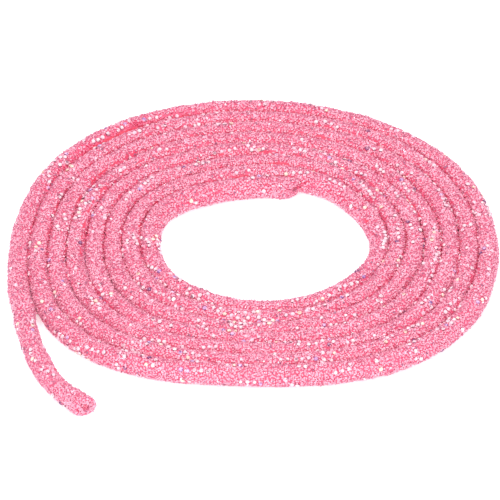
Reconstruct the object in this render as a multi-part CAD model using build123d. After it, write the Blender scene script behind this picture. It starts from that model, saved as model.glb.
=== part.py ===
from build123d import *

import os
from math import cos, pi, radians, sin, tan

# A soft round rope, lying as a loose flat coil with one free tail. Millimetres, +Z up,
# origin at the middle of the rope's bounding box, on the surface that it lies on.

# The rope: a textile core in a wrapped sleeve, which carries the grit and the stones.
ROPE_D = 6.0
CORE_D = 3.9
SLEEVE_BORE_D = 4.0

# The coil, seen from above. It winds inwards and clockwise from where the tail leaves it.
COIL_CENTRE = Vector(0.13, 6.56)
START_ANGLE = 200.0
TURNS = 7.37
OUTER_R = 68.82
INNER_R = 28.6
# How the turns bulge: lobes round the coil, then how far and which way at the outer turn
# and at the inner turn.
LOBES = (
    (1, 3.03, -70.4, 2.78, -40.9),
    (2, 1.03, 84.8, 0.43, -21.9),
    (3, 1.61, -24.0, 0.40, 36.0),
    (4, 1.71, 43.6, 0.35, -17.7),
    (5, 0.53, 15.8, 0.35, -1.8),
)
TURN_WIDTH = 5.2  # a turn is squeezed between its neighbours to less than the rope's diameter
COIL_HEIGHT = 6.4  # some turns ride up a little on their neighbours
COIL_EDGE_R = 2.4
POINTS_PER_TURN = 16

# The free ends. Each runs from inside the coil, where it is trimmed off at the coil's step,
# to a square-cut end.
TAIL_ROUTE = (
    (-65.65, -21.1),
    (-63.2, -32.5),
    (-61.9, -44.1),
    (-59.3, -55.4),
    (-56.0, -65.4),
    (-51.6, -73.4),
    (-45.7, -79.2),
)  # about the coil's centre
INNER_END_TURNS = 0.10
INNER_END_START = 0.015  # how far inside the coil the inner end begins, in turns
INNER_END_OFFSET = -0.4  # the inner end stands this far off the turn beside it
ARC_SHARE = 0.45  # share of the shorter run that each bend of a route takes up


def coil_point(turn, outwards=0.0):
    """Centreline of the coil after this many turns, seen from above."""
    inner_share = turn / TURNS
    outer_share = 1 - inner_share
    angle = START_ANGLE - 360 * turn
    radius = OUTER_R * outer_share + INNER_R * inner_share + outwards
    for lobes, outer_bulge, outer_angle, inner_bulge, inner_angle in LOBES:
        radius += outer_share * outer_bulge * cos(radians(lobes * (angle - outer_angle)))
        radius += inner_share * inner_bulge * cos(radians(lobes * (angle - inner_angle)))
    return COIL_CENTRE + Vector(radius * cos(radians(angle)), radius * sin(radians(angle)))


def turn_edge(first_turn, outwards):
    """Closed line along one edge of one turn, with a step where the turn meets the next."""
    turns = [first_turn + n / POINTS_PER_TURN for n in range(POINTS_PER_TURN + 1)]
    edge = Spline([coil_point(turn, outwards) for turn in turns])
    step = Line(edge @ 1, edge @ 0)
    return Wire([edge, step])


def make_coil():
    """All the turns as one closed band of their outer shape."""
    outline = Face(turn_edge(0, TURN_WIDTH / 2))
    opening = Face(turn_edge(TURNS - INNER_END_TURNS - 1, -TURN_WIDTH / 2))
    band = extrude(outline - opening, amount=COIL_HEIGHT, dir=(0, 0, 1))
    rims = band.edges().filter_by(GeomType.BSPLINE)
    return fillet(rims, COIL_EDGE_R)


def rope_path(name, points):
    """Straight runs joined by tangent arcs, each as large as its two runs allow."""
    route = [point + Vector(0, 0, ROPE_D / 2) for point in points]
    radii = []
    for before, corner, after in zip(route, route[1:], route[2:]):
        run_in = corner - before
        run_out = after - corner
        half_turn = radians(run_in.get_angle(run_out) / 2)
        radii.append(ARC_SHARE * min(run_in.length, run_out.length) / tan(half_turn))
    print(name, "bend radii:", [round(radius, 1) for radius in radii])
    return FilletPolyline(*route, radius=radii)


def tube_along(name, path, turn, outer_d, bore_d=0.0):
    """Round tube along a path, or a rod if it has no bore, trimmed at the coil's step."""
    start = Plane(origin=path @ 0, z_dir=path % 0)
    section = start * Circle(outer_d / 2)
    if bore_d:
        section -= start * Circle(bore_d / 2)
    tube = sweep(section, path=path)
    expected = pi / 4 * (outer_d**2 - bore_d**2) * path.length
    print(name, "length", round(path.length, 1), "volume ratio", round(tube.volume / expected, 4))
    angle = radians(START_ANGLE - 360 * turn)
    step = Plane(origin=COIL_CENTRE, z_dir=(sin(angle), -cos(angle), 0))
    towards_end = Keep.TOP if step.to_local_coords(path @ 1).Z > 0 else Keep.BOTTOM
    return split(tube, bisect_by=step, keep=towards_end)


def main():
    tail_path = rope_path("tail", [COIL_CENTRE + Vector(x, y) for x, y in TAIL_ROUTE])
    step_turn = TURNS - INNER_END_TURNS
    inner_turns = (step_turn - INNER_END_START, TURNS - INNER_END_TURNS / 2, TURNS)
    inner_path = rope_path("inner end", [coil_point(turn, INNER_END_OFFSET) for turn in inner_turns])

    parts = {"rope_coil": make_coil()}
    for end, path, turn in (("tail", tail_path, 0), ("inner_end", inner_path, step_turn)):
        sleeve = f"{end}_sleeve"
        core = f"{end}_core"
        parts[sleeve] = tube_along(sleeve, path, turn, ROPE_D, SLEEVE_BORE_D)
        parts[core] = tube_along(core, path, turn, CORE_D)

    os.makedirs("parts", exist_ok=True)
    for name, part in parts.items():
        export_step(part, f"parts/{name}.step")
    box = Compound(children=list(parts.values())).bounding_box()
    print("size", box.size, "centre", box.center())
    print("tail's cut end", tail_path @ 1, "pointing", tail_path % 1)


main()
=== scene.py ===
from math import cos, pi, radians, sin

import bpy
import numpy as np
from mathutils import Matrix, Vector
from mathutils.kdtree import KDTree


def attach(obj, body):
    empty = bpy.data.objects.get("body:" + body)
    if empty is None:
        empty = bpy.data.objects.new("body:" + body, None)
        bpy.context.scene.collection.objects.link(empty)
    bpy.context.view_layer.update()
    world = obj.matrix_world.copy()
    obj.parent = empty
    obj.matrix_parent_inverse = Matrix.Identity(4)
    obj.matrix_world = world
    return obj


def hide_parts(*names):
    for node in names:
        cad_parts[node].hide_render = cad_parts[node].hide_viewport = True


# A soft rope covered in grit and small faceted stones, lying as a loose flat coil with one
# free tail. Metres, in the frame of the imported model.

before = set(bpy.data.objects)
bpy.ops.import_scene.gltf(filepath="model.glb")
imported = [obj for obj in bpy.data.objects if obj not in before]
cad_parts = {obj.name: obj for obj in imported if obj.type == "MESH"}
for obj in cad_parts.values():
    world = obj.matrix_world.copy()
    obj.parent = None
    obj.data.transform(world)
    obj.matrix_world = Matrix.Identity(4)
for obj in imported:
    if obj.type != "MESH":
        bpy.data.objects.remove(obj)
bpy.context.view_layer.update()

MM = 0.001
COIL_CENTRE = np.array((0.13, 6.56)) * MM
rng = np.random.default_rng(20)


def new_object(name, data):
    made = bpy.data.objects.new(name, data)
    bpy.context.collection.objects.link(made)
    return made


# ---------------------------------------------------------------- camera

CAMERA_ELEVATION = 34.44  # degrees above the floor
CAMERA_DISTANCE = 5
CAMERA_LENS = 1296
AIM_HEIGHT = 3 * MM
AIM_LEFT = 0.556  # mm from the coil's centre, as the camera sees it
AIM_DOWN = 1.944


def make_camera():
    """A long lens, so that the coil's far side is hardly smaller than its near side."""
    elevation = radians(CAMERA_ELEVATION)
    back = Vector((0, -cos(elevation), sin(elevation)))
    up = Vector((0, sin(elevation), cos(elevation)))
    target = Vector((*COIL_CENTRE, AIM_HEIGHT)) - Vector((AIM_LEFT, 0, 0)) * MM - up * AIM_DOWN * MM
    data = bpy.data.cameras.new("camera")
    data.sensor_width = 36
    data.lens = CAMERA_LENS
    data.clip_start = 0.1
    data.clip_end = 100
    camera = new_object("camera", data)
    camera.location = target + back * CAMERA_DISTANCE
    camera.rotation_euler = (-back).to_track_quat("-Z", "Y").to_euler()
    bpy.context.scene.camera = camera


# ---------------------------------------------------------------- the rope's route

ROPE_D = 6.0 * MM
ROPE_R = ROPE_D / 2

START_ANGLE = 200.0
TURNS = 7.37
OUTER_R = 68.8 * MM
INNER_R = 29.0 * MM
LOBES = (
    (1, 3.03, -65.3, 2.46, -31.2),
    (2, 1.03, 84.8, 0.43, -21.9),
    (3, 1.61, -24.0, 0.40, 36.0),
    (4, 1.71, 43.6, 0.35, -17.7),
    (5, 0.53, 15.8, 0.35, -1.8),
)  # lobes round the coil, then how far (mm) and which way at the outer turn and the inner turn
FAR_SIDE = 80  # degrees, where the middle turns lie closer in
FAR_SIDE_PULL = 1.3 * MM
WANDER = 0.16 * MM
LIFT = 0.22 * MM
TAIL_ROUTE = (
    (-63.2, -32.5),
    (-61.9, -44.1),
    (-59.3, -55.4),
    (-56.0, -65.4),
    (-51.6, -73.4),
    (-45.7, -79.2),
)  # mm, about the coil's centre
POINTS_PER_TURN = 36
SPLINE_CUT = 1.0038  # the spline runs this much inside its control points


def coil_point(turn):
    """Centreline after this many turns inwards, on the floor or lifted a little off it."""
    inner_share = turn / TURNS
    outer_share = 1 - inner_share
    angle = START_ANGLE - 360 * turn
    radius = OUTER_R * outer_share + INNER_R * inner_share
    for lobes, outer_bulge, outer_angle, inner_bulge, inner_angle in LOBES:
        radius += outer_share * outer_bulge * MM * cos(radians(lobes * (angle - outer_angle)))
        radius += inner_share * inner_bulge * MM * cos(radians(lobes * (angle - inner_angle)))
    radius -= FAR_SIDE_PULL * inner_share * outer_share * (1 + cos(radians(angle - FAR_SIDE)))
    fade = min(1, 4 * inner_share, 4 * outer_share)
    radius += fade * WANDER * (sin(2 * pi * 3.37 * turn) + sin(2 * pi * 5.61 * turn + 1))
    lift = fade * LIFT * (1 + sin(2 * pi * 2.5 * turn + 0.6) * cos(2 * pi * 0.31 * turn))
    x, y = COIL_CENTRE + radius * SPLINE_CUT * np.array((cos(radians(angle)), sin(radians(angle))))
    return x, y, ROPE_R + lift


def make_route():
    """The rope's line as one smooth spline, from its inner end to its cut tail."""
    count = round(TURNS * POINTS_PER_TURN)
    points = [coil_point(TURNS * (1 - n / count)) for n in range(count + 1)]
    for x, y in TAIL_ROUTE:
        points.append((COIL_CENTRE[0] + x * MM, COIL_CENTRE[1] + y * MM, ROPE_R))
    data = bpy.data.curves.new("rope_route", "CURVE")
    data.dimensions = "3D"
    data.resolution_u = 20
    spline = data.splines.new("NURBS")
    spline.points.add(len(points) - 1)
    for point, place in zip(spline.points, points):
        point.co = (*place, 1)
    spline.order_u = 3
    spline.use_endpoint_u = True
    route = new_object("rope_route", data)
    bpy.context.view_layer.update()
    mesh = bpy.data.meshes.new_from_object(route)
    line = np.array([vertex.co for vertex in mesh.vertices])
    bpy.data.objects.remove(route)
    bpy.data.meshes.remove(mesh)
    return line


# ---------------------------------------------------------------- the rope's surface

RING_STEP = 0.64 * MM
PRESS = 0.09 * MM  # how far a turn presses into its neighbour
LEAST_HALF_WIDTH = 2.45 * MM
TOUCHING_HALF_WIDTH = 2.93 * MM  # a half width under this means that a neighbour touches
SQUARED_SQUEEZE = 0.35 * MM  # a section squeezed this much is as square as it gets
INNER_END_TAPER = 5.0 * MM
TAIL_END_PRESS = 8 * MM
SLANT_REACH = 6 * MM
TAIL_SLANT = 0.42
INNER_SLANT = 0.65


def unit(vectors):
    return vectors / np.linalg.norm(vectors, axis=-1, keepdims=True)


def smooth(values, reach):
    """Running average over this many rings to each side."""
    padded = np.pad(values, reach, mode="edge")
    return np.convolve(padded, np.ones(2 * reach + 1) / (2 * reach + 1), mode="valid")


def nearness(distance, reach):
    """1 at the place itself, falling evenly to 0 at this reach."""
    return np.clip(1 - distance / reach, 0, 1)


def bell(offset, width):
    """1 in the middle, falling smoothly to almost nothing at twice this width."""
    return np.exp(-((offset / width) ** 2))


class Rope:
    """The rope's line as evenly spaced rings, each with its own section."""

    def __init__(self, line):
        steps = np.linalg.norm(np.diff(line, axis=0), axis=1)
        travelled = np.concatenate(([0], np.cumsum(steps)))
        self.length = travelled[-1]
        self.s = np.linspace(0, self.length, round(self.length / RING_STEP))
        self.centre = np.stack([np.interp(self.s, travelled, line[:, k]) for k in range(3)], axis=1)
        self.along = unit(np.gradient(self.centre, axis=0))
        self.out = unit(np.cross(self.along, (0, 0, 1)))
        self.up = np.cross(self.out, self.along)
        self.press_sides()
        self.shape_ends()

    def press_sides(self):
        """Half-widths towards the outer and the inner neighbour, and where the two sides are hidden."""
        flat = self.centre[:, :2] - COIL_CENTRE
        radius = np.linalg.norm(flat, axis=1)
        angle = np.unwrap(np.arctan2(flat[:, 1], flat[:, 0]))
        outer = np.interp(angle + 2 * pi, angle, radius, right=1) - radius
        inner = radius - np.interp(angle - 2 * pi, angle, radius, left=-1)
        halves = []
        hidden = []
        for gap in (outer, inner):
            half = np.clip(gap / 2 + PRESS, LEAST_HALF_WIDTH, ROPE_R)
            halves.append(smooth(half, 6))
            hidden.append(smooth((half < TOUCHING_HALF_WIDTH).astype(float), 9))
        self.half_out, self.half_in = halves
        self.hidden_out, self.hidden_in = hidden

    def shape_ends(self):
        """The inner end narrows, the tail's end is pressed a little flat, and both are cut aslant."""
        from_tail = self.length - self.s
        narrowing = nearness(self.s, INNER_END_TAPER) ** 1.6
        pressing = nearness(from_tail, TAIL_END_PRESS) ** 1.5
        self.half_in *= 1 - 0.30 * narrowing
        self.half_in *= 1 + 0.04 * pressing
        self.half_out *= 1 + 0.04 * pressing
        self.half_up = ROPE_R * (1 - 0.14 * narrowing) * (1 - 0.06 * pressing)
        self.centre[:, 2] -= ROPE_R * (0.06 * pressing - 0.06 * narrowing)
        self.slant = TAIL_SLANT * nearness(from_tail, SLANT_REACH)
        self.slant += INNER_SLANT * nearness(self.s, SLANT_REACH)

    def at(self, values, s):
        """Values kept for each ring, read at distance s along the rope."""
        if values.ndim == 1:
            return np.interp(s, self.s, values)
        return np.stack([np.interp(s, self.s, values[:, k]) for k in range(3)], axis=-1)

    def bearing(self, s):
        """Which way the rope lies from the coil's centre, as an angle in plan."""
        x, y = np.moveaxis(self.at(self.centre, s)[:, :2] - COIL_CENTRE, 1, 0)
        return np.arctan2(y, x)

    def lengthwise(self, s, normals):
        """The rope's direction, laid flat on a surface with these normals."""
        return unit(np.cross(normals, np.cross(self.at(self.along, s), normals)))

    def surface(self, s, angle, raised=0.0, share=1.0):
        """Points on the rope at distance s and at an angle from outwards to up, with their normals."""
        half_side = np.where(np.cos(angle) > 0, self.at(self.half_out, s), self.at(self.half_in, s))
        half_up = self.at(self.half_up, s)
        power = 2 + 0.9 * np.clip((ROPE_R - half_side) / SQUARED_SQUEEZE, 0, 1)
        across = np.abs(np.cos(angle))
        rise = np.abs(np.sin(angle))
        bulge = (across**power + rise**power) ** (-1 / power) * share
        lump = lumps(s, angle)
        out = self.at(self.out, s)
        up = self.at(self.up, s)
        sideways = ((half_side + lump) * bulge * np.cos(angle))[..., None]
        upwards = ((half_up + lump) * bulge * np.sin(angle))[..., None]
        normal_out = np.sign(np.cos(angle)) * across ** (power - 1) / half_side
        normal_up = np.sign(np.sin(angle)) * rise ** (power - 1) / half_up
        normal = unit(out * normal_out[..., None] + up * normal_up[..., None])
        back = self.at(self.along, s) * (self.at(self.slant, s)[..., None] * sideways)
        points = self.at(self.centre, s) + out * sideways + up * upwards - back
        points = points + normal * np.asarray(raised)[..., None]
        return points, normal


NOISE_SPAN = 2.6  # metres, a little more than the rope's length


class Noise:
    """Smooth noise from -1 to 1 over the rope's surface, in cells of this length, this many around."""

    def __init__(self, cell, around):
        self.cell = cell
        self.around = around
        self.grid = rng.uniform(-1, 1, (int(NOISE_SPAN / cell) + 2, around))

    def __call__(self, s, angle):
        u = s / self.cell + 0.5
        v = np.mod(angle / (2 * pi), 1) * self.around
        i = u.astype(int)
        j = v.astype(int)
        fu = u - i
        fv = v - j
        fu = fu * fu * (3 - 2 * fu)
        fv = fv * fv * (3 - 2 * fv)
        j0 = j % self.around
        j1 = (j + 1) % self.around
        near = self.grid[i, j0] * (1 - fv) + self.grid[i, j1] * fv
        far = self.grid[i + 1, j0] * (1 - fv) + self.grid[i + 1, j1] * fv
        return near * (1 - fu) + far * fu


broad_lumps = Noise(6 * MM, 4)
fine_lumps = Noise(1.7 * MM, 11)
broad_tone = Noise(9 * MM, 3)
mid_tone = Noise(2.2 * MM, 8)
fine_tone = Noise(0.9 * MM, 20)
stone_crowd = Noise(24 * MM, 3)
stone_cluster = Noise(4.0 * MM, 5)
seam_gaps = Noise(16 * MM, 1)
seam_breaks = Noise(2.6 * MM, 1)
uneven_patches = Noise(7 * MM, 3)


def lumps(s, angle):
    """How far the rope's surface stands out from an even one."""
    return 0.24 * MM * broad_lumps(s, angle) + 0.10 * MM * fine_lumps(s, angle)


# ---------------------------------------------------------------- materials

def linear(colour):
    """An sRGB colour, 0 to 255, as the shader's linear one."""
    share = np.array(colour) / 255
    return (*np.where(share < 0.04045, share / 12.92, ((share + 0.055) / 1.055) ** 2.4), 1)


def new_material(name, roughness):
    """A material and its surface shader."""
    material = bpy.data.materials.new(name)
    material.use_nodes = True
    shader = material.node_tree.nodes["Principled BSDF"]
    shader.inputs["Roughness"].default_value = roughness
    return material, shader


def finish_material(name, colour, roughness, coat=0.0, specular=0.5):
    """One even finish, such as those that the grains and the stones' facets are dealt out from."""
    material, shader = new_material(name, roughness)
    shader.inputs["Base Color"].default_value = linear(colour)
    shader.inputs["Coat Weight"].default_value = coat
    shader.inputs["Specular IOR Level"].default_value = specular
    return material


def mottled_material(name, dark, light, scale, roughness, bump):
    """Bare rubber or fibre: two colours in soft patches, with a bump four times as fine."""
    material, shader = new_material(name, roughness)
    nodes = material.node_tree.nodes
    links = material.node_tree.links
    place = nodes.new("ShaderNodeTexCoord")
    patches = nodes.new("ShaderNodeTexNoise")
    patches.inputs["Scale"].default_value = scale
    patches.inputs["Detail"].default_value = 4
    ramp = nodes.new("ShaderNodeValToRGB")
    for element, position, colour in zip(ramp.color_ramp.elements, (0.32, 0.68), (dark, light)):
        element.position = position
        element.color = linear(colour)
    fine = nodes.new("ShaderNodeTexNoise")
    fine.inputs["Scale"].default_value = scale * 4
    fine.inputs["Detail"].default_value = 2
    bumps = nodes.new("ShaderNodeBump")
    bumps.inputs["Strength"].default_value = bump
    bumps.inputs["Distance"].default_value = 0.1 * MM
    links.new(place.outputs["Object"], patches.inputs["Vector"])
    links.new(place.outputs["Object"], fine.inputs["Vector"])
    links.new(patches.outputs["Fac"], ramp.inputs["Fac"])
    links.new(ramp.outputs["Color"], shader.inputs["Base Color"])
    links.new(fine.outputs["Fac"], bumps.inputs["Height"])
    links.new(bumps.outputs["Normal"], shader.inputs["Normal"])
    return material


# ---------------------------------------------------------------- meshes

def make_piece(name, points, faces, materials, finishes=None, shade_smooth=False):
    """A mesh object from points and a list of face arrays, one for each number of corners."""
    mesh = bpy.data.meshes.new(name)
    mesh.vertices.add(len(points))
    mesh.vertices.foreach_set("co", np.asarray(points, np.float32).ravel())
    corners = np.concatenate([part.ravel() for part in faces])
    sizes = np.concatenate([np.full(len(part), part.shape[1]) for part in faces])
    mesh.loops.add(len(corners))
    mesh.loops.foreach_set("vertex_index", corners.astype(np.int32))
    mesh.polygons.add(len(sizes))
    mesh.polygons.foreach_set("loop_start", (np.cumsum(sizes) - sizes).astype(np.int32))
    for material in materials:
        mesh.materials.append(material)
    if finishes is not None:
        mesh.polygons.foreach_set("material_index", np.concatenate(finishes).astype(np.int32))
    mesh.polygons.foreach_set("use_smooth", np.full(len(sizes), shade_smooth))
    mesh.update(calc_edges=True)
    mesh.validate()
    return new_object(name, mesh)


def row_faces(rows, columns, first=0, closed=True):
    """Quads that join rows of points, closed into rings or open as a strip."""
    across = columns if closed else columns - 1
    i, j = np.meshgrid(np.arange(rows - 1), np.arange(across), indexing="ij")
    here = first + i * columns + j
    beside = first + i * columns + (j + 1) % columns
    return np.stack((here, beside, beside + columns, here + columns), axis=-1).reshape(-1, 4)


def wall_faces(base, corners):
    """Quads round prisms, each with two rings of this many corners from its base number on."""
    corner = np.arange(corners)
    lower = base + corner
    lower_after = base + (corner + 1) % corners
    quads = np.stack((lower, lower_after, lower_after + corners, lower + corners), axis=-1)
    return quads.reshape(-1, 4)


def fan(ring, middle, outward):
    """Triangles from a ring of point numbers to the point in its middle."""
    after = np.roll(ring, -1)
    middles = np.full(len(ring), middle)
    order = (ring, after, middles) if outward else (after, ring, middles)
    return np.stack(order, axis=-1)


# ---------------------------------------------------------------- sleeve and seam

SLEEVE_SIDES = 26
SLEEVE_SINK = 0.24 * MM  # how far the skin lies under the rope's full size, which the grit makes up
SLEEVE_RIM = (
    (2.8, 0.0, 0.70),
    (0.0, 0.05, 0.72),
    (0.0, 0.14, 0.82),
    (0.0, 0.10, 0.93),
)  # how deep inside, how far past the end (mm), and the share of the section

SEAM_STEP = 0.7 * MM
SEAM_END_GAP = 1.0 * MM
SEAM_LAP = 0.08 * MM  # the strip and the grit reach this far past the bare width
SEAM_ORIGIN = 2170 * MM
SEAM_PROFILE = (
    (-1.0, -0.26),
    (-0.45, -0.14),
    (0.0, -0.20),
    (0.45, -0.13),
    (1.0, -0.26),
)  # how far across, as a share of the half width, and the height (mm) from the rope's full size
BARE_STRETCHES = (
    (2165, 26, 1.1),
    (2006, 12, 0.6),
    (1890, 16, 0.6),
    (1330, 18, 0.6),
    (1075, 14, 0.6),
    (610, 20, 0.6),
)  # where, how far (mm), and how wide


def make_sleeve(rope):
    """The rope's skin: closed round both ends, with a rim and a short bore that holds the core."""
    rows = [(depth * MM, -beyond * MM, share) for depth, beyond, share in SLEEVE_RIM]
    rows += [(s, 0.0, 1.0) for s in rope.s]
    for depth, beyond, share in reversed(SLEEVE_RIM):
        rows.append((rope.length - depth * MM, beyond * MM, share))
    s, beyond, share = (np.array(column)[:, None] for column in zip(*rows))
    angle = np.arange(SLEEVE_SIDES) * 2 * pi / SLEEVE_SIDES
    points, _ = rope.surface(s, angle, -SLEEVE_SINK, share)
    points = points + rope.at(rope.along, s) * beyond[..., None]
    points[..., 2] = np.maximum(points[..., 2], 0.02 * MM)
    middles = [points[0].mean(axis=0), points[-1].mean(axis=0)]
    count = len(rows) * SLEEVE_SIDES
    first_cap = fan(np.arange(SLEEVE_SIDES), count, False)
    last_cap = fan(np.arange(SLEEVE_SIDES) + count - SLEEVE_SIDES, count + 1, True)
    points = np.concatenate((points.reshape(-1, 3), middles))
    faces = [row_faces(len(rows), SLEEVE_SIDES), np.concatenate((first_cap, last_cap))]
    material = mottled_material("sleeve_rubber", (218, 66, 106), (240, 108, 142), 420, 0.6, 0.4)
    return make_piece("sleeve", points, faces, [material], shade_smooth=True)


def seam_angle(s):
    """Where the sleeve's seam lies round the rope, which it wanders about slowly."""
    along = s - SEAM_ORIGIN
    return 2.42 + 0.22 * np.cos(along / (51.6 * MM)) + 0.12 * np.sin(along / (140 * MM))


def seam_half_width(s):
    """Half the width that the grit leaves bare."""
    bare = 0.5 * seam_gaps(s, np.zeros_like(s)) + 0.5 * seam_breaks(s, np.zeros_like(s)) - 0.35
    for place, reach, width in BARE_STRETCHES:
        bare = bare + width * bell(s - place * MM, reach * MM)
    return 0.62 * MM * np.clip(bare, 0, 1.4)


def make_seam(rope):
    """The butt seam of the sleeve, a narrow bare strip between the two edges of grit."""
    s = np.linspace(SEAM_END_GAP, rope.length - SEAM_END_GAP, round(rope.length / SEAM_STEP))
    half = (seam_half_width(s) + SEAM_LAP) / ROPE_R
    across, raised = np.array(SEAM_PROFILE).T
    angle = seam_angle(s)[:, None] + half[:, None] * across
    points, _ = rope.surface(s[:, None], angle, raised * MM)
    points[..., 2] = np.maximum(points[..., 2], 0.01 * MM)
    faces = row_faces(*angle.shape, closed=False)[:, ::-1]
    material = mottled_material("seam_rubber", (218, 44, 84), (242, 92, 116), 700, 0.5, 0.3)
    return make_piece("seam", points.reshape(-1, 3), [faces], [material], shade_smooth=True)


# ---------------------------------------------------------------- places on the rope

FLANK = 0.95  # a flank that a neighbour may hide faces this squarely sideways
GROOVE_EDGE = 0.78  # grains that face sideways more than this lie in a groove, where most get painted groove shade
GROOVE_WIDENING = 0.11  # and a little sooner at the left and right of the coil, so the painted groove shade reaches further there
GROOVE_FADE = 0.18
GLUED_FLANK = 2.72  # radians from outwards over the top
STAINED_SIDE = radians(138)  # the side of the coil where the glue has spread the most


def scatter(rope, step, jitter):
    """Places all over the rope, one in each cell of this size."""
    rows = int(rope.length / step)
    columns = int(2 * pi * ROPE_R / step)
    i, j = np.meshgrid(np.arange(rows), np.arange(columns), indexing="ij")
    s = (i + 0.5 + rng.uniform(-jitter, jitter, i.shape)) * step
    angle = (j + 0.5 * (i % 2) + rng.uniform(-jitter, jitter, i.shape)) * 2 * pi / columns
    return np.clip(s.ravel(), 0, rope.length), np.mod(angle.ravel(), 2 * pi)


def pressed_together(rope, s, angle):
    """True on the flanks that the neighbouring turns hide."""
    outwards = (np.cos(angle) > FLANK) & (rope.at(rope.hidden_out, s) > 0.99)
    inwards = (np.cos(angle) < -FLANK) & (rope.at(rope.hidden_in, s) > 0.99)
    return outwards | inwards


def off_seam(s, angle, clearance):
    """True where a piece of this radius clears the bare seam."""
    across = np.abs(np.mod(angle - seam_angle(s) + pi, 2 * pi) - pi) * ROPE_R
    return across > seam_half_width(s) - SEAM_LAP + clearance


def in_painted_groove_shade(rope, s, angle):
    """True for most grains low between two turns, which are painted a darker crimson as painted groove
    shade.
    """
    edge = GROOVE_EDGE - GROOVE_WIDENING * np.cos(rope.bearing(s)) ** 2
    outwards = np.clip((np.cos(angle) - edge) / GROOVE_FADE, 0, 1) * rope.at(rope.hidden_out, s)
    inwards = np.clip((-np.cos(angle) - edge) / GROOVE_FADE, 0, 1) * rope.at(rope.hidden_in, s)
    share = np.maximum(outwards, inwards) * (0.70 + 0.45 * uneven_patches(s, angle))
    return rng.uniform(0, 1, len(s)) < share


def stained_stretch(s):
    """The one stretch of the outer turn where the glue has spread the most, from 0 to 1."""
    return bell(s - 2167 * MM, 26 * MM)


def beside_seam(s, angle):
    """How near a grain lies to the flank where the sleeve was glued shut, from 0 to 1."""
    spread = stained_stretch(s)
    away = angle - GLUED_FLANK + 0.36 * spread - 0.12 * uneven_patches(s, angle)
    return bell(away, 0.42 + 0.20 * spread)


def worn_off(s, angle):
    """True for the grains that are missing beside the seam, in patches of their own."""
    share = beside_seam(s, angle) * (0.12 + 0.20 * uneven_patches(s + 50 * MM, angle))
    return rng.uniform(0, 1, len(s)) < share


def stained(rope, s, angle):
    """True for the grains that the glue beside the seam has stained, most of all in one stretch."""
    side = np.clip(np.cos(rope.bearing(s) - STAINED_SIDE), 0, 1) ** 2
    amount = 0.10 * uneven_patches(s, angle) + 0.20 * side + stained_stretch(s)
    return rng.uniform(0, 1, len(s)) < beside_seam(s, angle) * amount


# ---------------------------------------------------------------- grit

GRIT_PIECES = 10
GRAIN_STEP = 0.58 * MM
GRAIN_CORNERS = 5
GRAIN_RADII = (0.28, 0.41)  # mm
GRAIN_HEIGHTS = (0.14, 0.38)  # mm
GRAIN_ROOT = 0.12 * MM  # how deep a chip stands in the sleeve
GRAIN_GAP = 0.10 * MM  # from a stone or the bare seam
END_GRAINS = 130
END_ROUNDS = 13
CORE_SHARE = 0.72  # of the cut end's section

GRIT_COLOURS = (
    (211, 124, 154),
    (238, 148, 173),
    (242, 155, 179),
    (245, 161, 184),
    (247, 166, 188),
    (248, 170, 192),
    (249, 175, 196),
    (250, 182, 203),
    (158, 100, 130),
    (252, 222, 232),
    (236, 114, 147),
    (214, 80, 116),
)  # in the order of the finish numbers below, with seven faces from dark to light. The first and the last are darker copies for the grains' sides, as painted shade; the near-white one stands in for sparkle, as painted glints; the one before the last is painted groove shade and also glue stain
# The grains' sides take darker finishes than their tops, as painted shade.
SHADED_SIDE_FINISH = 0
FIRST_FACE_FINISH = 1
GLINT_GRAIN_SHADED_SIDE_FINISH = 5
MAUVE_FINISH = 8
# Near-white grains that stand in for sparkle: painted glints.
GLINT_GRAIN_FINISH = 9
# Grains low in the grooves take this darker crimson as painted groove shade; grains beside the seam
# take it as glue stain.
GROOVE_SHADE_AND_STAIN_FINISH = 10
GROOVE_SHADE_AND_STAIN_SHADED_SIDE_FINISH = 11
FACE_LEVELS = (0.08, 0.24, 0.45, 0.66, 0.84, 0.95)
MAUVE_BELOW = 0.018
GLINT_GRAIN_ABOVE = 0.992


def clear_of_stones(places, stone_places, stone_radii):
    """True for the grains that no stone covers."""
    tree = KDTree(len(stone_places))
    for number, place in enumerate(stone_places):
        tree.insert(place, number)
    tree.balance()
    clear = np.ones(len(places), bool)
    for number, place in enumerate(places):
        _, stone, distance = tree.find(place)
        clear[number] = distance > stone_radii[stone] + GRAIN_GAP
    return clear


def end_grains(rope, at_tail):
    """Grains on a cut end: on the sleeve round the core, and stray ones stuck on the core."""
    ring = -1 if at_tail else 0
    s = np.full(END_GRAINS, rope.s[ring])
    spots = np.arange(END_GRAINS) + rng.uniform(-0.4, 0.4, END_GRAINS)
    angle = spots * 2 * pi * END_ROUNDS / END_GRAINS
    share = np.sqrt(rng.uniform(0.36**2, 0.97**2, END_GRAINS))
    places, radial = rope.surface(s, angle, -0.20 * MM, share)
    outwards = unit(rope.along[ring] + rope.out[ring] * rope.slant[ring])
    if not at_tail:
        outwards = -outwards
    on_core = share < CORE_SHARE
    places = places + outwards * np.where(on_core, 0.20 * MM, 0.0)[:, None]
    normals = unit(outwards + radial * np.where(on_core, 0.2, (share - 0.80) * 2.5)[:, None])
    return s, angle, places, normals, unit(np.cross(normals, rope.at(rope.up, s)))


def grain_sites(rope, stone_places, stone_radii):
    """Where the grains stand and which way they face, all over the sleeve and on the cut ends."""
    s, angle = scatter(rope, GRAIN_STEP, 0.46)
    keep = ~pressed_together(rope, s, angle) & off_seam(s, angle, GRAIN_GAP) & ~worn_off(s, angle)
    s, angle = s[keep], angle[keep]
    places, normals = rope.surface(s, angle, -SLEEVE_SINK)
    keep = clear_of_stones(places, stone_places, stone_radii)
    s, angle, places, normals = s[keep], angle[keep], places[keep], normals[keep]
    body = (s, angle, places, normals, rope.lengthwise(s, normals))
    ends = [end_grains(rope, at_tail) for at_tail in (False, True)]
    return [np.concatenate(parts) for parts in zip(body, *ends)]


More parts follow.
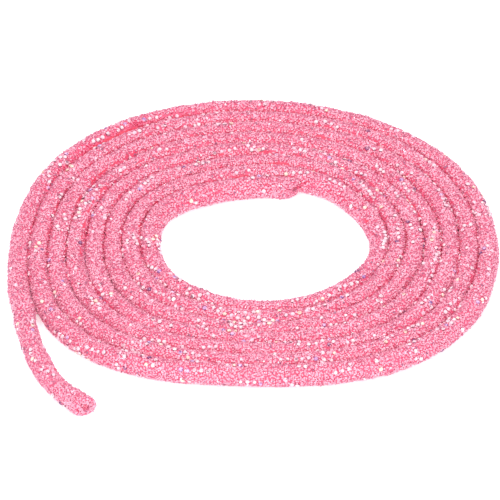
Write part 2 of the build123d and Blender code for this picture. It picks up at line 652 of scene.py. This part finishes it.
def grain_finishes(rope, s, angle):
    """The number of the finish on each grain's face."""
    tone = 0.35 * broad_tone(s, angle) + 0.55 * mid_tone(s, angle) + 0.8 * fine_tone(s, angle)
    tone = tone + rng.normal(0, 0.7, len(s))
    finish = FIRST_FACE_FINISH + np.searchsorted(np.quantile(tone, FACE_LEVELS), tone)
    lot = rng.uniform(0, 1, len(s))
    finish = np.where(lot < MAUVE_BELOW, MAUVE_FINISH, finish)
    # A few grains take the near-white finish as painted glints.
    finish = np.where(lot > GLINT_GRAIN_ABOVE, GLINT_GRAIN_FINISH, finish)
    # Grains in the grooves get the darker crimson as painted groove shade; stained grains get it as
    # glue stain.
    return np.where(in_painted_groove_shade(rope, s, angle) | stained(rope, s, angle), GROOVE_SHADE_AND_STAIN_FINISH, finish)


def grain_shapes(places, normals, alongs, radii, heights):
    """Small chips with a tilted flat top, standing in the surface."""
    count = len(places)
    across = np.cross(normals, alongs)
    turn = rng.uniform(0, 2 * pi, count)
    tilt = rng.normal(0, 0.33, (2, count))
    top_share = rng.uniform(0.70, 0.92, count)
    points = np.empty((count, 2 * GRAIN_CORNERS, 3))
    for corner in range(GRAIN_CORNERS):
        angle = turn + (corner + rng.uniform(-0.28, 0.28, count)) * 2 * pi / GRAIN_CORNERS
        reach = radii * rng.uniform(0.8, 1.25, count)
        offset = alongs * (reach * np.cos(angle))[:, None] + across * (reach * np.sin(angle))[:, None]
        slope = reach * top_share * (tilt[0] * np.cos(angle) + tilt[1] * np.sin(angle))
        top_offset = offset * top_share[:, None]
        top_rise = normals * (heights + slope)[:, None]
        points[:, corner] = places + offset - normals * GRAIN_ROOT
        points[:, corner + GRAIN_CORNERS] = places + top_offset + top_rise
    points[..., 2] = np.maximum(points[..., 2], 0.0)
    base = np.arange(count)[:, None] * 2 * GRAIN_CORNERS
    tops = base + GRAIN_CORNERS + np.arange(GRAIN_CORNERS)
    return points.reshape(-1, 3), [wall_faces(base, GRAIN_CORNERS), tops]


def make_grit(rope, stone_places, stone_radii):
    """Grains all over the rope, as pieces of equal lengths of it."""
    s, angle, *site = grain_sites(rope, stone_places, stone_radii)
    radii = rng.uniform(*GRAIN_RADII, len(s)) * MM
    heights = rng.uniform(*GRAIN_HEIGHTS, len(s)) * MM
    finish = grain_finishes(rope, s, angle)
    # Each grain's sides take a darker copy of its top's finish, as painted shade.
    shaded_side_finishes = np.full(len(GRIT_COLOURS), SHADED_SIDE_FINISH)
    shaded_side_finishes[GLINT_GRAIN_FINISH] = GLINT_GRAIN_SHADED_SIDE_FINISH
    shaded_side_finishes[GROOVE_SHADE_AND_STAIN_FINISH] = GROOVE_SHADE_AND_STAIN_SHADED_SIDE_FINISH
    materials = [
        finish_material(f"grit_{k + 1}", colour, 0.3 + 0.03 * (k % 4), coat=0.2)
        for k, colour in enumerate(GRIT_COLOURS)
    ]
    length = np.minimum((s / rope.length * GRIT_PIECES).astype(int), GRIT_PIECES - 1)
    pieces = []
    for number in range(GRIT_PIECES):
        chosen = length == number
        points, faces = grain_shapes(*(values[chosen] for values in (*site, radii, heights)))
        tops = finish[chosen]
        # The walls take the darker side finish: painted shade.
        finishes = [np.repeat(shaded_side_finishes[tops], GRAIN_CORNERS), tops]
        pieces.append(make_piece(f"grit_{number + 1}", points, faces, materials, finishes))
    print("grains", len(s))
    return pieces


# ---------------------------------------------------------------- stones

STONE_CORNERS = 8
STONE_RADII = (0.54, 0.70)  # mm
STONE_SPACING = 1.18 * MM
STONE_SINK = 0.14 * MM
STONE_LIFT = 0.10 * MM
STONE_END_GAP = 0.7 * MM
STONE_SEAM_GAP = 0.40 * MM
STONE_LEVELS = ((-0.30, 0.97), (0.18, 1.0), (0.60, 0.60))  # height and reach, as shares of the radius
SEED_STEP = 2.0 * MM
SEED_SHARE = 0.112
ROW_LENGTHS = (1, 2, 3, 4, 5)
ROW_SHARES = (0.45, 0.22, 0.16, 0.10, 0.07)
STONE_KINDS = (
    ("clear", 0.60, (
        (249, 218, 225), (249, 209, 218), (243, 196, 211), (206, 158, 174), (150, 96, 118),
    )),
    ("pink", 0.20, (
        (252, 210, 222), (250, 200, 216), (246, 184, 204), (210, 112, 144), (252, 220, 230),
    )),
    ("yellow", 0.11, (
        (248, 220, 208), (246, 210, 198), (248, 222, 214), (226, 180, 168), (190, 142, 134),
    )),
    ("violet", 0.07, (
        (224, 178, 214), (202, 152, 200), (172, 122, 184), (130, 86, 146), (240, 216, 234),
    )),
    ("dark", 0.03, (
        (160, 88, 124), (124, 66, 112), (112, 70, 132), (190, 122, 152), (92, 54, 92),
    )),
)  # name, how many for each other kind, and the five colours that its facets are dealt. Which facets get which colours is painted light and shade: the table mostly takes the first, lighter colours and the walls mostly the last two.
WALL_SHARES = (0.0, 0.0, 0.10, 0.40, 0.50)  # how often each of the five colours comes on the walls; on the crown and the table below likewise, as painted facet light and shade
CROWN_SHARES = (0.24, 0.28, 0.28, 0.15, 0.05)
TABLE_SHARES = (0.5, 0.25, 0.14, 0.07, 0.04)


def spaced_out(places, spacing):
    """True for the stones that lie on no earlier stone."""
    tree = KDTree(len(places))
    for number, place in enumerate(places):
        tree.insert(place, number)
    tree.balance()
    keep = np.ones(len(places), bool)
    for number, place in enumerate(places):
        for _, other, _ in tree.find_range(place, spacing):
            if other < number and keep[other]:
                keep[number] = False
    return keep


def stone_sites(rope):
    """Where the stones sit: in short rows, crowded along some stretches and sparse along others."""
    seed_s, seed_angle = scatter(rope, SEED_STEP, 0.45)
    crowd = 1 + 0.8 * stone_crowd(seed_s, seed_angle) + 1.2 * stone_cluster(seed_s, seed_angle)
    crowd = np.clip(crowd, 0.15, 3.2) * (0.95 - 0.30 * np.sin(rope.bearing(seed_s)))
    keep = rng.uniform(0, 1, len(seed_s)) < SEED_SHARE * crowd
    count = keep.sum()
    in_row = rng.choice(ROW_LENGTHS, count, p=ROW_SHARES)
    row = np.repeat(np.arange(count), in_row)
    place_in_row = np.arange(len(row)) - np.repeat(np.cumsum(in_row) - in_row, in_row)
    step = np.repeat(rng.uniform(1.35, 2.1, count), in_row) * MM
    drift = np.repeat(rng.normal(0, 0.16, count), in_row)
    s = seed_s[keep][row] + place_in_row * step + rng.normal(0, 0.12 * MM, len(row))
    angle = seed_angle[keep][row] + place_in_row * drift + rng.normal(0, 0.05, len(row))
    angle = np.mod(angle, 2 * pi)
    keep = (s > STONE_END_GAP) & (s < rope.length - STONE_END_GAP)
    s, angle = s[keep], angle[keep]
    keep = ~pressed_together(rope, s, angle) & off_seam(s, angle, STONE_SEAM_GAP)
    s, angle = s[keep], angle[keep]
    keep = spaced_out(rope.surface(s, angle)[0], STONE_SPACING)
    return s[keep], angle[keep]


def stone_shapes(places, normals, alongs, across, radii):
    """Flat-backed stones: a wall up to the girdle, a crown of two rounds of facets, and a table."""
    count = len(places)
    turn = rng.uniform(0, 2 * pi, count)
    points = np.empty((count, 3 * STONE_CORNERS, 3))
    for level, (height, reach) in enumerate(STONE_LEVELS):
        for corner in range(STONE_CORNERS):
            angle = turn + (corner + 0.5 * (level == 2)) * 2 * pi / STONE_CORNERS
            points[:, level * STONE_CORNERS + corner] = (
                places
                + alongs * (radii * reach * np.cos(angle))[:, None]
                + across * (radii * reach * np.sin(angle))[:, None]
                + normals * (radii * height + STONE_LIFT)[:, None]
            )
    points[..., 2] = np.maximum(points[..., 2], 0.0)
    base = np.arange(count)[:, None] * 3 * STONE_CORNERS
    corner = np.arange(STONE_CORNERS)
    after = (corner + 1) % STONE_CORNERS
    girdle = base + STONE_CORNERS + corner
    girdle_after = base + STONE_CORNERS + after
    table = base + 2 * STONE_CORNERS + corner
    table_after = base + 2 * STONE_CORNERS + after
    crown_low = np.stack((girdle, girdle_after, table), axis=-1)
    crown_high = np.stack((girdle_after, table_after, table), axis=-1)
    crown = np.concatenate((crown_low.reshape(-1, 3), crown_high.reshape(-1, 3)))
    return points.reshape(-1, 3), [wall_faces(base, STONE_CORNERS), crown, table]


def make_stones(rope, s, angle, radii):
    """Small faceted stones, as one piece for each colour."""
    places, normals = rope.surface(s, angle, -STONE_SINK)
    alongs = rope.lengthwise(s, normals)
    tilt = rng.normal(0, 0.13, (len(s), 2))
    across = np.cross(normals, alongs)
    normals = unit(normals + alongs * tilt[:, :1] + across * tilt[:, 1:])
    alongs = unit(np.cross(across, normals))
    across = np.cross(normals, alongs)
    shares = np.array([share for _, share, _ in STONE_KINDS])
    kinds = rng.choice(len(STONE_KINDS), len(s), p=shares / shares.sum())
    pieces = []
    for number, (name, _, colours) in enumerate(STONE_KINDS):
        chosen = kinds == number
        site = (values[chosen] for values in (places, normals, alongs, across, radii))
        points, faces = stone_shapes(*site)
        walls, crowns, tables = (len(part) for part in faces)
        # Walls, crowns and tables are dealt their colours with different shares: painted facet light
        # and shade.
        finishes = [
            rng.choice(len(colours), walls, p=WALL_SHARES),
            rng.choice(len(colours), crowns, p=CROWN_SHARES),
        ]
        rng.random(tables)  # passed over, so that every draw after it stays the same
        finishes.append(rng.choice(len(colours), tables, p=TABLE_SHARES))
        materials = [
            finish_material(f"stone_{name}_{k + 1}", colour, 0.16 + 0.03 * k, coat=0.25)
            for k, colour in enumerate(colours)
        ]
        pieces.append(make_piece(f"stones_{name}", points, faces, materials, finishes))
    return pieces


# ---------------------------------------------------------------- cut ends

BUNDLE_R = 1.78 * MM  # out to the middle of the outermost fibres
FIBRE_SPACING = 0.40 * MM
FIBRE_R = 0.225 * MM
FIBRE_SIDES = 7
FIBRE_STATIONS = (
    (-2.6, 1.0, 0.0),
    (-0.9, 1.0, 0.3),
    (-0.25, 0.95, 0.8),
    (0.0, 0.62, 1.0),
)  # how far past the cut (mm), the share of the fibre's radius, and the share of its bend
FIBRE_TIP = 0.05 * MM
FIBRE_COLOURS = (
    ((218, 90, 124), (244, 146, 172)),
    ((234, 122, 152), (250, 172, 192)),
    ((196, 60, 98), (234, 118, 148)),
)


def fibre_sites():
    """The middle of each fibre in the bundle, in rows like packed circles, a little uneven."""
    sites = []
    for row in range(-5, 6):
        for column in range(-6, 7):
            x = (column + 0.5 * (row % 2)) * FIBRE_SPACING
            y = row * FIBRE_SPACING * 0.87
            if x * x + y * y < BUNDLE_R**2:
                sites.append((x, y))
    return np.array(sites) + rng.normal(0, 0.05 * MM, (len(sites), 2))


def make_core(rope, name, at_tail):
    """The core as the cut shows it: a bundle of soft fibres, ending at uneven lengths."""
    sites = fibre_sites()
    reach = rng.uniform(-0.30, 0.34, len(sites)) * MM
    bends = rng.normal(0, 0.09 * MM, (len(sites), 2))
    ring = -1 if at_tail else 0
    way = 1 if at_tail else -1
    outwards = rope.along[ring] * way
    slant = rope.slant[ring] * way
    half_out = rope.half_out[ring] / ROPE_R
    half_up = rope.half_up[ring] / ROPE_R
    angles = np.arange(FIBRE_SIDES) * 2 * pi / FIBRE_SIDES
    stations = len(FIBRE_STATIONS)
    colours = len(FIBRE_COLOURS)
    points = []
    walls = []
    caps = []
    wall_finishes = []
    cap_finishes = []
    for number, (site, past, bend) in enumerate(zip(sites, reach, bends)):
        first = len(points)
        for depth, width, bent in FIBRE_STATIONS:
            x, y = site + bend * bent
            for angle in angles:
                side = (x + FIBRE_R * width * cos(angle)) * half_out
                rise = (y + FIBRE_R * width * sin(angle)) * half_up
                reached = depth * MM + past * (depth > -1) - slant * side
                place = rope.centre[ring] + rope.out[ring] * side + rope.up[ring] * rise
                points.append(place + outwards * reached)
        last_ring = first + (stations - 1) * FIBRE_SIDES + np.arange(FIBRE_SIDES)
        points.append(np.mean(points[-FIBRE_SIDES:], axis=0) + outwards * FIBRE_TIP)
        walls.append(row_faces(stations, FIBRE_SIDES, first))
        wall_finishes.append(np.full(len(walls[-1]), number % colours))
        caps.append(fan(last_ring, len(points) - 1, True))
        cap_finishes.append(np.full(FIBRE_SIDES, (number + 1) % colours))
    faces = [np.concatenate(walls), np.concatenate(caps)]
    finishes = [np.concatenate(wall_finishes), np.concatenate(cap_finishes)]
    materials = [
        mottled_material(f"{name}_fibre_{k + 1}", dark, light, 900, 0.8, 0.6)
        for k, (dark, light) in enumerate(FIBRE_COLOURS)
    ]
    return make_piece(name, np.array(points), faces, materials, finishes, shade_smooth=True)


# ---------------------------------------------------------------- studio

FLOOR_HALF = 15
LIGHTS = (
    ("overhead", (0.15, 0.10, 1.1), 0.6, 4.0),
    ("front", (0.10, -1.0, 0.75), 0.8, 7.0),
    ("key", (-0.45, -0.45, 0.9), 0.16, 2.5),
)  # name, place and size (metres), and power (watts)


def make_floor():
    """A plain white floor that glows a little, so that it stays pale under soft light."""
    material = finish_material("floor_paint", (250, 250, 250), 0.9, specular=0.1)
    shader = material.node_tree.nodes["Principled BSDF"]
    shader.inputs["Emission Color"].default_value = (1, 1, 1, 1)
    shader.inputs["Emission Strength"].default_value = 0.45
    corners = np.array(((-1, -1, 0), (1, -1, 0), (1, 1, 0), (-1, 1, 0))) * FLOOR_HALF
    floor = make_piece("floor", corners, [np.array([(0, 1, 2, 3)])], [material])


def make_light(name, place, size, power):
    """A round soft light that faces the coil and isn't seen itself."""
    data = bpy.data.lights.new(name, "AREA")
    data.shape = "DISK"
    data.size = size
    data.energy = power
    light = new_object(name, data)
    light.location = place
    light.rotation_euler = (Vector(place)).to_track_quat("Z", "Y").to_euler()
    light.visible_camera = False


def make_studio():
    """White surroundings and three soft lights."""
    world = bpy.data.worlds.new("studio")
    world.use_nodes = True
    background = world.node_tree.nodes["Background"]
    background.inputs["Color"].default_value = (1, 1, 1, 1)
    background.inputs["Strength"].default_value = 0.70
    bpy.context.scene.world = world
    bpy.context.scene.view_settings.view_transform = "Standard"
    for light in LIGHTS:
        make_light(*light)


# ---------------------------------------------------------------- all together

make_camera()
rope = Rope(make_route())
sleeve = make_sleeve(rope)
seam = make_seam(rope)
inner_core = make_core(rope, "inner_core", False)
tail_core = make_core(rope, "tail_core_fibres", True)
stone_s, stone_angle = stone_sites(rope)
stone_radii = rng.uniform(*STONE_RADII, len(stone_s)) * MM
stone_places, _ = rope.surface(stone_s, stone_angle)
stones = make_stones(rope, stone_s, stone_angle, stone_radii)
grit = make_grit(rope, stone_places, stone_radii)
print("rope length", rope.length, "stones", len(stone_s), "rings", len(rope.s))

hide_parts("rope_coil", "tail_sleeve", "inner_end_sleeve")
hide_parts("inner_end_core")
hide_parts("tail_core")
for piece, finish in (
    (sleeve, "grit_sleeve"),
    (seam, "seam"),
    (inner_core, "core"),
    (tail_core, "core"),
    *((stone, "stones") for stone in stones),
    *((grains, "grit") for grains in grit),
):
    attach(piece, "root")

make_floor()
make_studio()
